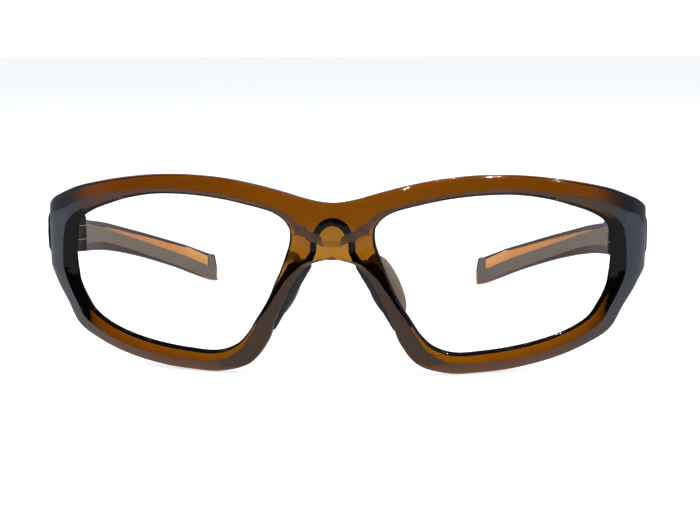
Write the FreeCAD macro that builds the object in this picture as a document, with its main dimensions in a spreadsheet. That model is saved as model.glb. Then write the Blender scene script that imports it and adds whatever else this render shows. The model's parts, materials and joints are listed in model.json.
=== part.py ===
import FreeCAD, Part
import math
import os
import Sketcher
from FreeCAD import Placement, Rotation, Vector

# Wrap-around glacier glasses, open, standing on the rims and the temple tips.
# +Z is up and the lenses look along -Y. The wearer's left is +X.
# The origin is on the table, in the middle of the footprint.

doc = FreeCAD.newDocument("GlacierGlasses")

SIZES = {
    # whole frame
    "frame_width": 145.0,         # widest, over both end-pieces
    "frame_depth": 147.0,         # bridge to temple tips
    "front_radius": 100.0,        # wrap of the front, seen from above
    "drop_radius": 180.0,         # curve of the front, seen from the side
    "apex_height": 24.0,          # height where the front stands furthest forward
    "front_thickness": 4.5,
    "turn_radius": 12.0,          # corner of the end-piece, seen from above
    "turn_core": 4.0,             # least inner radius of the corner's filling
    "end_depth": 33.0,            # bridge to the joint with the temple
    "butt_gap": 0.3,              # between end-piece and temple
    # lens and rims, seen from in front
    "lens_width": 53.0,
    "lens_height": 35.8,
    "lens_gap": 18.3,             # between the two lens openings
    "top_rim": 4.4,
    "bottom_rim": 4.8,
    "foot_flat": 0.3,             # how much is cut off under each rim, to stand on
    "nasal_rim": 4.7,
    "bridge_top": 39.2,           # height above the table
    "bridge_bottom": 26.4,
    "relief_rise": 35.1,          # top of the arched relief behind the bridge
    "relief_half_width": 7.0,
    "relief_depth": 2.0,
    # end-piece, seen from the side
    "end_top": 35.7,
    "end_bottom": 21.4,
    # lens and its groove
    "lens_thickness": 2.0,
    "lens_setback": 1.2,          # lens face behind the face of the rim
    "groove_depth": 1.3,
    "groove_clearance": 0.05,
    # hinge
    "hinge_inset": 8.5,           # pin to the widest point of the frame
    "barrel_radius": 1.9,
    "hinge_height": 9.0,
    "middle_knuckle": 3.0,
    "knuckle_gap": 0.25,
    "leaf_thickness": 1.0,
    "leaf_offset": 1.2,           # pin to the near face of the leaf
    "leaf_length": 5.6,
    "temple_leaf_end": 8.0,       # pin to the far end of the temple leaf
    "knuckle_relief": 2.2,        # a leaf stays this far from the other's knuckle
    "pin_radius": 0.7,
    "pin_clearance": 0.05,
    "pin_head_radius": 1.5,
    "pin_head_height": 0.7,
    "slot_width": 0.4,
    "slot_depth": 0.35,
    "washer_thickness": 0.15,
    "washer_radius": 1.7,
    "washer_clearance": 0.03,
    "seat_clearance": 0.04,       # plastic round the embedded leaf
    # small screws that hold the leaves
    "screw_radius": 0.55,
    "screw_length": 3.2,
    "screw_head_radius": 1.05,
    "screw_head_height": 0.5,
    "screw_spacing": 6.0,
    "front_screw_reach": 3.5,     # pin to the screws of the front leaf
    "temple_screw_reach": 5.3,
    "screw_clearance": 0.03,
    # temple
    "root_height": 14.0,
    "arm_height": 7.0,
    "tip_height": 8.8,
    "root_rise": 28.55,           # middle of the root above the table
    "tip_inset": 22.5,            # how far the tip curves in
    "rest_fold": 9.2,             # degrees that the left temple rests folded in
    "arm_thickness": 3.4,
    "grip_depth": 0.7,
    "grip_margin": 1.6,
    "grip_start": 24.0,           # joint to the front end of the grip
    "grip_length": 68.0,
    "grip_clearance": 0.03,
    # nose piece
    "nose_lean": 24.3,            # degrees, along the nasal rim
    "nose_splay": 20.0,           # degrees, opening backwards
    "nose_rise": 19.2,
    "nose_reach": 11.0,           # centre line to the carrier
    "carrier_length": 20.0,
    "carrier_thickness": 2.0,
    "carrier_depth": 6.0,
    "carrier_seat": 0.7,
    "carrier_clearance": 0.04,
    "pad_length": 16.5,
    "pad_width": 7.6,
    "pad_thickness": 2.8,
    "pad_start": 0.9,             # rim to the near edge of the pad
    "pad_round": 1.1,
}

sheet = doc.addObject("Spreadsheet::Sheet", "Sizes")
for row, (alias, value) in enumerate(SIZES.items(), start=1):
    sheet.set(f"A{row}", alias)
    sheet.set(f"B{row}", str(value))
    sheet.setAlias(f"B{row}", alias)
doc.recompute()


def size(alias):
    return float(sheet.get(alias))


def bind(thing, **expressions):
    """Ties properties to the sheet; a double underscore stands for a dot."""
    for key, expression in expressions.items():
        thing.setExpression(key.replace("__", "."), expression)


# Distances that follow from the sheet.
HALF_WIDTH = size("frame_width") / 2
WRAP = size("front_radius")
TURN = size("turn_radius")
FRONT_Y = -size("frame_depth") / 2
JOINT_Y = FRONT_Y + size("end_depth")
TIP_Y = FRONT_Y + size("frame_depth")
HINGE_X = HALF_WIDTH - size("hinge_inset")
HINGE_Z = (size("end_top") + size("end_bottom")) / 2
INNER_FACE = size("leaf_offset") + size("leaf_thickness")
TURN_ANGLE = math.asin((HALF_WIDTH - TURN) / (WRAP - TURN))
TURN_CENTRE = Vector(HALF_WIDTH - TURN, FRONT_Y + WRAP - (WRAP - TURN) * math.cos(TURN_ANGLE), 0)
WRAP_CENTRE = Vector(0, FRONT_Y + WRAP, 0)
LENS_X = (size("lens_gap") + size("lens_width")) / 2
LENS_Z = size("bottom_rim") - size("foot_flat") + size("lens_height") / 2
OVERSIZE = 10.0
UP = Vector(0, 0, 1)


# ---------------------------------------------------------------- outlines
def spline(points, closed=False):
    curve = Part.BSplineCurve()
    curve.interpolate([Vector(a, b, 0) for a, b in points], PeriodicFlag=closed)
    return curve


def line(start, end):
    return Part.LineSegment(Vector(*start, 0), Vector(*end, 0))


def sketch(name, edges, placement=Placement()):
    drawing = doc.addObject("Sketcher::SketchObject", name)
    drawing.addGeometry(edges, False)
    drawing.Placement = placement
    return drawing


def extrude(name, base, direction, length):
    solid = doc.addObject("Part::Extrusion", name)
    solid.Base = base
    solid.DirMode = "Custom"
    solid.Dir = direction
    solid.LengthFwd = length
    solid.Solid = True
    return solid


def facing_front(y):
    """Sketch plane seen from in front: local X is X and local Y is Z."""
    return Placement(Vector(0, y, 0), Rotation(Vector(1, 0, 0), 90))


def facing_side(x):
    """Sketch plane seen from the side: local X is Y and local Y is Z."""
    return Placement(Vector(x, 0, 0), Rotation(Vector(1, 1, 1), 120))


# The lens outline as shares of its half width and half height, from the
# upper nasal corner over the top and round.
LENS_SHAPE = [
    (-0.98, 0.54), (-0.86, 0.78), (-0.52, 0.915), (-0.20, 0.985), (0.14, 1.0),
    (0.52, 0.91), (0.87, 0.68), (0.99, 0.38), (0.99, -0.06), (0.90, -0.42),
    (0.68, -0.72), (0.34, -0.88), (-0.08, -0.985), (-0.38, -0.97),
    (-0.60, -0.77), (-0.76, -0.40), (-0.93, 0.10),
]


def lens_points(grow=None):
    """The lens outline on the +X side. grow(normal) widens it."""
    half_width = size("lens_width") / 2
    half_height = size("lens_height") / 2
    points = [(LENS_X + a * half_width, LENS_Z + b * half_height) for a, b in LENS_SHAPE]
    if grow is None:
        return points
    wider = []
    for index, (x, z) in enumerate(points):
        before = points[index - 1]
        after = points[(index + 1) % len(points)]
        along = Vector(after[0] - before[0], after[1] - before[1], 0).normalize()
        normal = Vector(-along.y, along.x, 0)
        reach = grow(normal)
        wider.append((x + normal.x * reach, z + normal.y * reach))
    return wider


def rim_width(normal):
    """Rim width in the direction of the normal, as seen from in front."""
    upright = size("top_rim") if normal.y > 0 else size("bottom_rim")
    return upright * normal.y ** 2 + size("nasal_rim") * normal.x ** 2


def front_outline():
    """Front view: both edges follow the rims, then close in on the joint."""
    rim = lens_points(rim_width)
    shoulder = HALF_WIDTH - 7.5
    top = [(0, size("bridge_top"))]
    top.append((0.5 * rim[2][0], 0.62 * size("bridge_top") + 0.38 * rim[2][1]))
    top += rim[2:6]
    top.append((shoulder, rim[5][1] - 3.4))
    top.append((HALF_WIDTH - 3.4, size("end_top") + 2.2))
    top.append((HALF_WIDTH + 0.5, size("end_top") - 1.0))
    low = [(0, size("bridge_bottom"))]
    low.append((rim[-1][0] - 2.4, 0.5 * (size("bridge_bottom") + rim[-1][1])))
    low += reversed(rim[10:])
    low.append((shoulder - 1.6, rim[10][1] + 2.9))
    low.append((shoulder + 0.9, size("end_bottom") - 10.6))
    low.append((HALF_WIDTH - 3.4, size("end_bottom") - 4.8))
    low.append((HALF_WIDTH + 0.5, size("end_bottom") + 1.2))
    far = HALF_WIDTH + OVERSIZE
    edges = [
        spline([(-x, z) for x, z in reversed(top[1:])] + top),
        spline([(-x, z) for x, z in reversed(low[1:])] + low),
    ]
    for side in (-1, 1):
        corners = [(side * x, z) for x, z in (top[-1], (far, top[-1][1]), (far, low[-1][1]), low[-1])]
        edges += [line(start, end) for start, end in zip(corners, corners[1:])]
    return edges


def end_outline():
    """Side view of the front: flat feet, and ends that close in on the joint."""
    back = JOINT_Y - size("butt_gap") / 2
    top = [(back, size("end_top")), (back - 1.5, size("end_top") + 0.5)]
    top += [(back - 3, size("end_top") + 2.2), (back - 3.8, size("end_top") + 5.5)]
    low = [(back, size("end_bottom")), (back - 1.5, size("end_bottom") - 0.8)]
    low += [(back - 2.8, size("end_bottom") - 3.4), (back - 3.6, size("end_bottom") - 8)]
    front = FRONT_Y - OVERSIZE
    high = size("end_top") + 2 * OVERSIZE
    corners = [top[-1], (top[-1][0], high), (front, high), (front, 0)]
    corners += [(low[-1][0], 0), low[-1]]
    edges = [spline(top), spline(low), line(low[0], top[0])]
    edges += [line(start, end) for start, end in zip(corners, corners[1:])]
    return edges


# ---------------------------------------------------------------- front
def shell_section(name, angle, near, far):
    """Upright section through the front, from depth near to depth far."""
    outward = Vector(math.sin(angle), -math.cos(angle), 0)
    face = WRAP_CENTRE + outward * WRAP
    plane = Placement(face, Rotation(outward * -1, UP, Vector(), "XYZ"))
    drop = size("drop_radius")
    low = -OVERSIZE / 2
    high = 2 * size("apex_height") - low

    def bend(depth, height):
        rise = height - size("apex_height")
        return drop - math.sqrt((drop - depth) ** 2 - rise ** 2)

    def arc(depth, start, middle, end):
        return Part.Arc(*(Vector(bend(depth, z), z, 0) for z in (start, middle, end)))

    corners = [(bend(near, low), low), (bend(far, low), low)]
    corners += [(bend(far, high), high), (bend(near, high), high)]
    edges = [line(corners[0], corners[1]), arc(far, low, size("apex_height"), high)]
    edges += [line(corners[2], corners[3]), arc(near, high, size("apex_height"), low)]
    return sketch(name, edges, plane)


def revolve(name, section, centre, degrees):
    solid = doc.addObject("Part::Revolution", name)
    solid.Source = section
    solid.Base = centre
    solid.Axis = UP
    solid.Angle = degrees
    solid.Solid = True
    return solid


def wrap_shell(name, near, far):
    """The curved sheet that the front and the lenses are cut from."""
    section = shell_section(name + "_section", -TURN_ANGLE, near, far)
    return revolve(name, section, WRAP_CENTRE, 2 * math.degrees(TURN_ANGLE))


def combine(kind, name, shapes):
    result = doc.addObject(kind, name)
    result.Shapes = shapes
    return result


def cut(name, base, tool):
    result = doc.addObject("Part::Cut", name)
    result.Base = base
    result.Tool = tool
    return result


def mirror(name, source):
    result = doc.addObject("Part::Mirroring", name)
    result.Source = source
    result.Normal = Vector(1, 0, 0)
    return result


def turned(name, source):
    """A left temple piece, turned about the pin to the angle that it rests at."""
    group = doc.addObject("Part::Compound", name)
    group.Links = [source]
    group.Placement = Placement(Vector(), Rotation(UP, size("rest_fold")), Vector(HINGE_X, JOINT_Y, 0))
    return group


def box(name, low, high):
    block = doc.addObject("Part::Box", name)
    block.Length = high[0] - low[0]
    block.Width = high[1] - low[1]
    block.Height = high[2] - low[2]
    block.Placement = Placement(Vector(*low), Rotation())
    return block


def front_blank():
    """The moulded front before its openings are cut."""
    centre = wrap_shell("front_sheet", 0, size("front_thickness"))
    turn_degrees = 90 - math.degrees(TURN_ANGLE)
    turn_section = shell_section("turn_section", TURN_ANGLE, 0, size("front_thickness"))
    turn = revolve("turn_left", turn_section, TURN_CENTRE, turn_degrees)
    fill_section = shell_section("fill_section", TURN_ANGLE, 0, TURN - size("turn_core"))
    wedge = revolve("corner_wedge", fill_section, TURN_CENTRE, turn_degrees)
    boss_low = (HINGE_X + INNER_FACE, FRONT_Y, 0)
    boss_high = (HALF_WIDTH, JOINT_Y + OVERSIZE, size("end_top") + OVERSIZE)
    boss = box("hinge_boss_limit", boss_low, boss_high)
    fill = combine("Part::MultiCommon", "hinge_boss", [wedge, boss])
    corner = combine("Part::MultiFuse", "corner_left", [turn, fill])
    sheet_parts = [centre, corner, mirror("corner_right", corner)]
    whole = combine("Part::MultiFuse", "front_sheet_all", sheet_parts)
    front_y = FRONT_Y + size("end_depth") + OVERSIZE
    outline = sketch("front_outline", front_outline(), facing_front(front_y))
    prism = extrude("front_prism", outline, Vector(0, -1, 0), size("end_depth") + 2 * OVERSIZE)
    profile = sketch("end_outline", end_outline(), facing_side(-HALF_WIDTH - OVERSIZE))
    side = extrude("side_prism", profile, Vector(1, 0, 0), 2 * (HALF_WIDTH + OVERSIZE))
    return combine("Part::MultiCommon", "front_blank", [whole, prism, side])


def lens_prism(name, grow):
    depth = size("end_depth") + OVERSIZE
    outline = sketch(name + "_outline", [spline(lens_points(lambda normal: grow), True)],
                     facing_front(FRONT_Y + depth))
    return extrude(name, outline, Vector(0, -1, 0), depth + OVERSIZE)


def bridge_relief():
    """Arched hollow in the back of the bridge."""
    half = size("relief_half_width")
    top = size("relief_rise")
    foot = size("bridge_bottom") - OVERSIZE
    shoulder = size("bridge_bottom") + 1.0
    arch = spline([(-half, shoulder), (-0.62 * half, top - 2.2), (0, top), (0.62 * half, top - 2.2),
                   (half, shoulder)])
    edges = [arch, line((half, shoulder), (half, foot)), line((half, foot), (-half, foot)),
             line((-half, foot), (-half, shoulder))]
    back = FRONT_Y + size("front_thickness") - size("relief_depth")
    outline = sketch("relief_outline", edges, facing_front(back + OVERSIZE))
    return extrude("bridge_relief", outline, Vector(0, -1, 0), OVERSIZE)


# ---------------------------------------------------------------- nose piece
def nose_placement():
    """Local X points away from the nose, Y backwards, Z up the nasal rim."""
    lean = math.radians(size("nose_lean"))
    splay = math.radians(size("nose_splay"))
    up_rim = Vector(-math.sin(lean), 0, math.cos(lean))
    backward = Vector(math.sin(splay), math.cos(splay), 0)
    backward = (backward - up_rim * backward.dot(up_rim)).normalize()
    back_face = FRONT_Y + size("front_thickness")
    back_face += size("nose_reach") ** 2 / (2 * WRAP)
    base = Vector(size("nose_reach"), back_face, size("nose_rise"))
    return Placement(base, Rotation(backward.cross(up_rim), backward, up_rim, "ZYX"))


def body_sketch(body, name, plane_role):
    drawing = body.newObject("Sketcher::SketchObject", name)
    plane = next(item for item in body.Origin.OriginFeatures if item.Role == plane_role)
    drawing.AttachmentSupport = [(plane, "")]
    drawing.MapMode = "FlatFace"
    return drawing


def add_circle(drawing, radius_expression, name, centre=(0, 0)):
    index = drawing.addGeometry(Part.Circle(Vector(*centre, 0), UP, 1.0), False)
    rule = drawing.addConstraint(Sketcher.Constraint("Radius", index, 1.0))
    drawing.renameConstraint(rule, name)
    drawing.setExpression(f"Constraints.{name}", radius_expression)
    return index


def add_rounded_bar(drawing, length_expression, width_expression, centre_expression):
    """A bar with half-round ends along local Y, its middle set off along X."""
    edges = [
        Part.ArcOfCircle(Part.Circle(Vector(0, 2, 0), UP, 1), 0, math.pi),
        line((-1, 2), (-1, -2)),
        Part.ArcOfCircle(Part.Circle(Vector(0, -2, 0), UP, 1), math.pi, 2 * math.pi),
        line((1, -2), (1, 2)),
    ]
    drawing.addGeometry(edges, False)
    for first, first_end, second, second_end in ((0, 2, 1, 1), (1, 2, 2, 1), (2, 2, 3, 1), (3, 2, 0, 1)):
        drawing.addConstraint(Sketcher.Constraint("Tangent", first, first_end, second, second_end))
    drawing.addConstraint(Sketcher.Constraint("Vertical", 1))
    drawing.addConstraint(Sketcher.Constraint("Symmetric", 0, 3, 2, 3, -1))
    rules = {
        "span": (Sketcher.Constraint("Distance", 0, 3, 2, 3, 4.0), length_expression),
        "roundness": (Sketcher.Constraint("Radius", 0, 1.0), width_expression),
        "offset": (Sketcher.Constraint("DistanceX", -1, 1, 0, 3, 1.0), centre_expression),
    }
    for name, (constraint, expression) in rules.items():
        index = drawing.addConstraint(constraint)
        drawing.renameConstraint(index, name)
        drawing.setExpression(f"Constraints.{name}", expression)


def pad_body(body, drawing, length_expression, reverse=False, symmetric=False):
    feature = body.newObject("PartDesign::Pad", drawing.Name + "_pad")
    feature.Profile = drawing
    feature.setExpression("Length", length_expression)
    feature.Reversed = reverse
    feature.Midplane = symmetric
    body.Tip = feature
    return feature


def nose_carrier(name, clearance="0"):
    """Upright strip that stands in a seat in the back of the nasal rim."""
    body = doc.addObject("PartDesign::Body", name)
    plate = body_sketch(body, name + "_plate", "YZ_Plane")
    depth = f"(Sizes.carrier_depth + Sizes.carrier_seat + 2 * {clearance})"
    add_rounded_bar(
        plate,
        f"Sizes.carrier_length + 2 * {clearance} - {depth}",
        f"{depth} / 2",
        "(Sizes.carrier_depth - Sizes.carrier_seat) / 2",
    )
    pad_body(body, plate, f"Sizes.carrier_thickness + 2 * {clearance}", symmetric=True)
    body.Placement = nose_placement()
    return body


def nose_pad(name):
    """Soft oval cushion on the nose side of the carrier."""
    body = doc.addObject("PartDesign::Body", name)
    face = body_sketch(body, name + "_face", "YZ_Plane")
    add_rounded_bar(
        face,
        "Sizes.pad_length - Sizes.pad_width",
        "Sizes.pad_width / 2",
        "Sizes.pad_start + Sizes.pad_width / 2",
    )
    cushion = pad_body(body, face, "Sizes.pad_thickness", reverse=True)
    doc.recompute()
    outer = min(
        range(len(cushion.Shape.Faces)),
        key=lambda index: cushion.Shape.Faces[index].CenterOfMass.x,
    )
    rounding = body.newObject("PartDesign::Fillet", name + "_rounding")
    rounding.Base = (cushion, [f"Face{outer + 1}"])
    rounding.setExpression("Radius", "Sizes.pad_round")
    body.Tip = rounding
    local_offset = Vector(-size("carrier_thickness") / 2, 0, 0)
    seat = nose_placement()
    body.Placement = Placement(seat.multVec(local_offset), seat.Rotation)
    return body


# ---------------------------------------------------------------- hinge
def hinge_block(name, low, high):
    """A box given from the hinge pin, in millimetres."""
    shift = (HINGE_X, JOINT_Y, HINGE_Z)
    return box(name, [a + b for a, b in zip(low, shift)], [a + b for a, b in zip(high, shift)])


def barrel(name, radius_expression, bottom_expression, height_expression):
    """A cylinder round the hinge pin; its heights are from the hinge's middle."""
    tube = doc.addObject("Part::Cylinder", name)
    bind(
        tube,
        Radius=radius_expression,
        Height=height_expression,
        Placement__Base__x="Sizes.frame_width / 2 - Sizes.hinge_inset",
        Placement__Base__y="Sizes.end_depth - Sizes.frame_depth / 2",
        Placement__Base__z=f"(Sizes.end_top + Sizes.end_bottom) / 2 + {bottom_expression}",
    )
    return tube


def screw_tool(name, reach, radius_alias, extra, length):
    """Two pilot holes or shanks across the leaf, along X."""
    tools = []
    for level in (-1, 1):
        rod = doc.addObject("Part::Cylinder", f"{name}_{'low' if level < 0 else 'high'}")
        rod.Radius = size(radius_alias) + extra
        rod.Height = length
        height = HINGE_Z + level * size("screw_spacing") / 2
        start = Vector(HINGE_X + size("leaf_offset") - OVERSIZE / 10, JOINT_Y + reach, height)
        rod.Placement = Placement(start, Rotation(Vector(0, 1, 0), 90))
        tools.append(rod)
    return combine("Part::MultiFuse", name, tools)


def front_hinge():
    half = size("hinge_height") / 2
    middle = size("middle_knuckle") / 2 + size("knuckle_gap")
    knuckle = "(Sizes.hinge_height / 2 - Sizes.middle_knuckle / 2 - Sizes.knuckle_gap)"
    upper = barrel("front_knuckle_top", "Sizes.barrel_radius",
                   "Sizes.middle_knuckle / 2 + Sizes.knuckle_gap", knuckle)
    lower = barrel("front_knuckle_low", "Sizes.barrel_radius", "-Sizes.hinge_height / 2", knuckle)
    near = size("leaf_offset")
    leaf = hinge_block("front_leaf", (near, -size("leaf_length"), -half), (INNER_FACE, 0, half))
    metal = combine("Part::MultiFuse", "front_hinge_metal", [upper, lower, leaf])
    relief = size("knuckle_relief")
    notch = hinge_block("front_notch", (-relief, -relief, -middle), (relief + 1, relief, middle))
    bore = barrel("front_bore", "Sizes.pin_radius + Sizes.pin_clearance",
                  "-Sizes.hinge_height", "2 * Sizes.hinge_height")
    holes = screw_tool("front_leaf_holes", -size("front_screw_reach"), "screw_radius",
                       size("screw_clearance"), OVERSIZE)
    tools = combine("Part::MultiFuse", "front_hinge_tools", [notch, bore, holes])
    return cut("front_hinge_left", metal, tools)


def temple_hinge():
    half = size("hinge_height") / 2
    middle = size("middle_knuckle") / 2
    knuckle = barrel("temple_knuckle", "Sizes.barrel_radius", "-Sizes.middle_knuckle / 2",
                     "Sizes.middle_knuckle")
    near = size("leaf_offset")
    relief = size("knuckle_relief")
    end = size("temple_leaf_end")
    leaf = hinge_block("temple_leaf", (near, relief, -half), (INNER_FACE, end, half))
    tongue = hinge_block("temple_tongue", (near, size("butt_gap") / 2, -middle),
                         (INNER_FACE, relief + 1, middle))
    metal = combine("Part::MultiFuse", "temple_hinge_metal", [knuckle, leaf, tongue])
    bore = barrel("temple_bore", "Sizes.pin_radius + Sizes.pin_clearance",
                  "-Sizes.hinge_height", "2 * Sizes.hinge_height")
    holes = screw_tool("temple_leaf_holes", size("temple_screw_reach"), "screw_radius",
                       size("screw_clearance"), OVERSIZE)
    tools = combine("Part::MultiFuse", "temple_hinge_tools", [bore, holes])
    return cut("temple_hinge_left", metal, tools)


def hinge_pin():
    """Slotted screw that is the hinge's pin, turned in one piece."""
    body = doc.addObject("PartDesign::Body", "hinge_pin_body")
    shank = body_sketch(body, "pin_shank", "XY_Plane")
    add_circle(shank, "Sizes.pin_radius", "shank_radius")
    pad_body(body, shank, "Sizes.hinge_height")
    head = body_sketch(body, "pin_head", "XY_Plane")
    bind(head, AttachmentOffset__Base__z="Sizes.hinge_height")
    add_circle(head, "Sizes.pin_head_radius", "head_radius")
    pad_body(body, head, "Sizes.pin_head_height")
    body.Placement = Placement(Vector(HINGE_X, JOINT_Y, HINGE_Z - size("hinge_height") / 2), Rotation())
    top = size("hinge_height") / 2 + size("pin_head_height")
    width = size("slot_width") / 2
    reach = size("pin_head_radius") + 1
    slot = hinge_block("pin_slot", (-reach, -width, top - size("slot_depth")), (reach, width, top + 1))
    return cut("hinge_pin_screw_left", body, slot)


def hinge_washers():
    """Two thin washers, one in each gap between the knuckles."""
    rings = []
    for name, side in (("low", -1), ("high", 1)):
        middle = f"{side} * (Sizes.middle_knuckle / 2 + Sizes.knuckle_gap / 2)"
        bottom = f"({middle} - Sizes.washer_thickness / 2)"
        disc = barrel(f"washer_disc_{name}", "Sizes.washer_radius", bottom, "Sizes.washer_thickness")
        hole = barrel(f"washer_hole_{name}", "Sizes.pin_radius + Sizes.washer_clearance",
                      f"({middle} - Sizes.knuckle_gap)", "2 * Sizes.knuckle_gap")
        rings.append(cut(f"washer_{name}", disc, hole))
    group = doc.addObject("Part::Compound", "hinge_washers_left")
    group.Links = rings
    return group


def leaf_screws(name, reach_expression, sign):
    """Two cheese-head screws that hold a leaf to the plastic."""
    screws = []
    for label, level in (("low", -1), ("high", 1)):
        body = doc.addObject("PartDesign::Body", f"{name}_{label}")
        shank = body_sketch(body, f"{name}_{label}_shank", "YZ_Plane")
        add_circle(shank, "Sizes.screw_radius", "shank_radius")
        pad_body(body, shank, "Sizes.screw_length")
        head = body_sketch(body, f"{name}_{label}_head", "YZ_Plane")
        add_circle(head, "Sizes.screw_head_radius", "head_radius")
        pad_body(body, head, "Sizes.screw_head_height", reverse=True)
        bind(
            body,
            Placement__Base__x="Sizes.frame_width / 2 - Sizes.hinge_inset + Sizes.leaf_offset",
            Placement__Base__y=f"Sizes.end_depth - Sizes.frame_depth / 2 + {sign} * {reach_expression}",
            Placement__Base__z="(Sizes.end_top + Sizes.end_bottom) / 2"
                               f" + {level} * Sizes.screw_spacing / 2",
        )
        screws.append(body)
    group = doc.addObject("Part::Compound", name)
    group.Links = screws
    return group


# ---------------------------------------------------------------- temple
def temple_inset(share):
    """How far the outer side of the temple has curved in, from joint to tip."""
    return size("tip_inset") * max(share, 0) ** 1.9


def temple_plan(start, length, outer_depth, inner_depth):
    """Plan of a strip of the temple between two depths from its outer side.

    A depth is a function of the share of the way from joint to tip.
    """
    whole = TIP_Y - JOINT_Y
    steps = 14
    outer = []
    inner = []
    for step in range(steps + 1):
        y = JOINT_Y + start + length * step / steps
        share = (y - JOINT_Y) / whole
        x = HALF_WIDTH - temple_inset(share - 0.03)
        outer.append((x - outer_depth(share), y))
        inner.append((x - inner_depth(share), y))
    return outer, inner


def arm_depth(share):
    """Thickness of the arm: heavy at the hinge, then even."""
    root = size("hinge_inset") - INNER_FACE
    blend = min(max((share - 0.09) / 0.16, 0), 1)
    blend = blend * blend * (3 - 2 * blend)
    return root + (size("arm_thickness") - root) * blend


def plan_prism(name, outer, inner):
    edges = [spline(outer), line(outer[-1], inner[-1]), spline(list(reversed(inner)))]
    edges.append(line(inner[0], outer[0]))
    outline = sketch(name + "_plan", edges, Placement(Vector(0, 0, -OVERSIZE), Rotation()))
    return extrude(name, outline, UP, size("end_top") + 3 * OVERSIZE)


def temple_profile(margin=0.0):
    """Side view of the arm: stations of share, how far it has come down, and full height."""
    length = TIP_Y - JOINT_Y
    start = JOINT_Y + size("butt_gap") / 2
    root, tip_middle = size("root_rise"), size("tip_height") / 2
    tall_root, slim, tall_tip = size("root_height"), size("arm_height"), size("tip_height")
    falls = [
        (0.0, 0.0, tall_root),
        (0.05, 0.030, 0.80 * tall_root + 0.20 * slim),
        (0.13, 0.100, 0.31 * tall_root + 0.69 * slim),
        (0.24, 0.172, 0.18 * tall_root + 0.82 * slim),
        (0.36, 0.246, 0.07 * tall_root + 0.93 * slim),
        (0.48, 0.354, slim),
        (0.62, 0.503, slim),
        (0.78, 0.700, 0.80 * slim + 0.20 * tall_tip),
        (0.965, 0.959, tall_tip),
    ]
    stations = [(share, root - fall * (root - tip_middle), tall) for share, fall, tall in falls]
    top = [(start + share * length, middle + tall / 2 - margin) for share, middle, tall in stations]
    low = [(start + share * length, middle - tall / 2 + margin) for share, middle, tall in stations[:-1]]
    low.append((TIP_Y, margin))
    return top, low


def side_prism(name, top, low):
    edges = [spline(top), line(top[-1], low[-1]), spline(list(reversed(low))), line(low[0], top[0])]
    outline = sketch(name + "_side", edges, facing_side(0))
    return extrude(name, outline, Vector(1, 0, 0), HALF_WIDTH + OVERSIZE)


def temple_pieces():
    start = size("butt_gap") / 2
    length = TIP_Y - JOINT_Y
    outer, inner = temple_plan(start, length - start, lambda share: 0.0, arm_depth)
    arm = combine("Part::MultiCommon", "temple_blank", [
        plan_prism("arm_plan", outer, inner),
        side_prism("arm_side", *temple_profile()),
    ])
    grips = []
    for name, grow in (("grip_seat", size("grip_clearance")), ("temple_grip_left", 0.0)):
        outer, inner = temple_plan(
            size("grip_start") - grow,
            size("grip_length") + 2 * grow,
            lambda share: arm_depth(share) - size("grip_depth") - grow,
            lambda share: arm_depth(share) + (1.0 if grow else 0.0),
        )
        grips.append(combine("Part::MultiCommon", name, [
            plan_prism(name + "_plan", outer, inner),
            side_prism(name + "_edge", *temple_profile(size("grip_margin") - grow)),
        ]))
    seat, grip = grips
    holes = screw_tool("temple_pilot_holes", size("temple_screw_reach"), "screw_radius",
                       size("screw_clearance"), size("screw_length") + 1.2)
    height = size("root_height")
    leaf_seat = hinge_block("temple_leaf_seat", (-OVERSIZE, 0, -height),
                            (INNER_FACE, size("temple_leaf_end") + size("seat_clearance"), height))
    tools = combine("Part::MultiFuse", "temple_tools", [seat, holes, leaf_seat])
    return cut("temple_arm_left", arm, tools), grip


# ---------------------------------------------------------------- assembly
def build():
    left = {}
    blank = front_blank()
    setback = size("lens_setback")
    slack = size("groove_clearance")
    opening = lens_prism("lens_opening", 0.0)
    groove_prism = lens_prism("groove_prism", size("groove_depth"))
    groove_sheet = wrap_shell("groove_sheet", setback - slack, setback + size("lens_thickness") + slack)
    groove = combine("Part::MultiCommon", "lens_groove", [groove_prism, groove_sheet])
    lens_edge = lens_prism("lens_prism", size("groove_depth") - slack)
    lens_sheet = wrap_shell("lens_sheet", setback, setback + size("lens_thickness"))
    left["lens"] = combine("Part::MultiCommon", "lens_left", [lens_edge, lens_sheet])

    left["nose_pad_carrier"] = nose_carrier("nose_pad_carrier_left")
    left["nose_pad"] = nose_pad("nose_pad_left")
    carrier_seat = nose_carrier("carrier_seat", "Sizes.carrier_clearance")
    left["front_hinge"] = front_hinge()
    left["hinge_pin_screw"] = hinge_pin()
    left["hinge_washers"] = hinge_washers()
    left["front_hinge_screws"] = leaf_screws("front_hinge_screws_left", "Sizes.front_screw_reach", -1)
    left["temple_hinge"] = temple_hinge()
    left["temple_hinge_screws"] = leaf_screws(
        "temple_hinge_screws_left", "Sizes.temple_screw_reach", 1)
    left["temple_arm"], left["temple_grip"] = temple_pieces()

    seat = size("seat_clearance")
    pocket = hinge_block(
        "hinge_pocket",
        (-OVERSIZE, -size("leaf_length") - seat, -size("hinge_height") / 2 - seat),
        (INNER_FACE, OVERSIZE, size("hinge_height") / 2 + size("pin_head_height") + 1),
    )
    pilots = screw_tool("front_pilot_holes", -size("front_screw_reach"), "screw_radius",
                        size("screw_clearance"), size("screw_length") + 1.2)
    cuts = combine("Part::MultiFuse", "front_cuts_left", [opening, groove, pocket, carrier_seat, pilots])
    all_cuts = combine("Part::MultiFuse", "front_cuts", [cuts, mirror("front_cuts_right", cuts),
                                                         bridge_relief()])
    nodes = {"front_frame": cut("front_frame", blank, all_cuts)}
    for name, source in left.items():
        rides_on_temple = name.startswith("temple_")
        nodes[name + "_left"] = turned(name + "_left_at_rest", source) if rides_on_temple else source
        nodes[name + "_right"] = mirror(name + "_right", source)
    return nodes


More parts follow.
